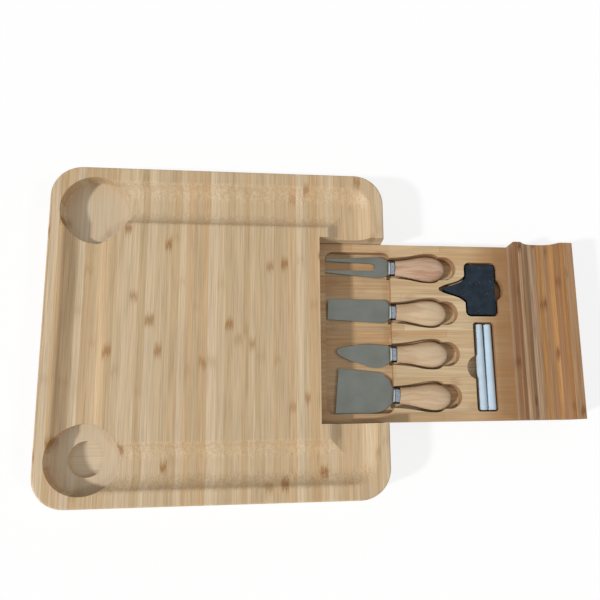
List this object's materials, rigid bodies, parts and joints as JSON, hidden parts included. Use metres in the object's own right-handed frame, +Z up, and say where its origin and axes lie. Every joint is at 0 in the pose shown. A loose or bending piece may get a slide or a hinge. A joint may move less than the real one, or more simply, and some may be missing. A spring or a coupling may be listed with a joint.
{
  "type": "cheese board set",
  "caption": "Square bamboo cheese board with a serving groove, two round wells and a slide-out drawer holding knives with wooden handles, slate labels and chalk.",
  "frame": {"origin": "middle of the board's underside, on the surface it stands on", "axes": "+X the way the drawer slides out, +Z up, +Y across the drawer; the drawer is pulled out at rest"},
  "size_m": [0.535, 0.33, 0.038],
  "materials": {
    "bamboo_top": "satin",
    "bamboo_side": "satin",
    "bamboo_tray": "satin",
    "bamboo_front": "satin",
    "blade_steel": "satin",
    "ferrule_chrome": "polished",
    "handle_wood": "satin",
    "handle_wood_pink": "satin",
    "slate": "matte",
    "chalk": "matte"
  },
  "bodies": {
    "board": {"top_panel": "bamboo_top", "upper_rail": "bamboo_side", "lower_rail": "bamboo_side", "back_rail": "bamboo_side", "bottom_panel": "bamboo_side"},
    "drawer": {"drawer_tray": "bamboo_tray", "drawer_front": "bamboo_front"},
    "fork": {"fork_blade": "blade_steel", "fork_ferrule": "ferrule_chrome", "fork_handle": "handle_wood_pink"},
    "chisel": {"chisel_blade": "blade_steel", "chisel_ferrule": "ferrule_chrome", "chisel_handle": "handle_wood"},
    "pointed_knife": {"pointed_blade": "blade_steel", "pointed_ferrule": "ferrule_chrome", "pointed_handle": "handle_wood"},
    "spade_knife": {"spade_blade": "blade_steel", "spade_ferrule": "ferrule_chrome", "spade_handle": "handle_wood"},
    "label_low": {"label_1": "slate"},
    "label_mid": {"label_2": "slate"},
    "label_top": {"label_3": "slate"},
    "chalk_left": {"chalk_left": "chalk"},
    "chalk_right": {"chalk_right": "chalk"}
  },
  "joints": [
    {"name": "drawer_slide", "type": "slide", "parent": "board", "child": "drawer", "axis": [1, 0, 0], "range_m": [-0.205, 0.1]},
    {"name": "fork_lift", "type": "slide", "parent": "drawer", "child": "fork", "axis": [0, 0, 1], "range_m": [0, 0.08]},
    {"name": "chisel_lift", "type": "slide", "parent": "drawer", "child": "chisel", "axis": [0, 0, 1], "range_m": [0, 0.08]},
    {"name": "pointed_knife_lift", "type": "slide", "parent": "drawer", "child": "pointed_knife", "axis": [0, 0, 1], "range_m": [0, 0.08]},
    {"name": "spade_knife_lift", "type": "slide", "parent": "drawer", "child": "spade_knife", "axis": [0, 0, 1], "range_m": [0, 0.08]},
    {"name": "label_low_lift", "type": "slide", "parent": "drawer", "child": "label_low", "axis": [0, 0, 1], "range_m": [0, 0.06]},
    {"name": "label_mid_lift", "type": "slide", "parent": "label_low", "child": "label_mid", "axis": [0, 0, 1], "range_m": [0, 0.06]},
    {"name": "label_top_lift", "type": "slide", "parent": "label_mid", "child": "label_top", "axis": [0, 0, 1], "range_m": [0, 0.06]},
    {"name": "chalk_left_lift", "type": "slide", "parent": "drawer", "child": "chalk_left", "axis": [0, 0, 1], "range_m": [0, 0.06]},
    {"name": "chalk_right_lift", "type": "slide", "parent": "drawer", "child": "chalk_right", "axis": [0, 0, 1], "range_m": [0, 0.06]}
  ]
}
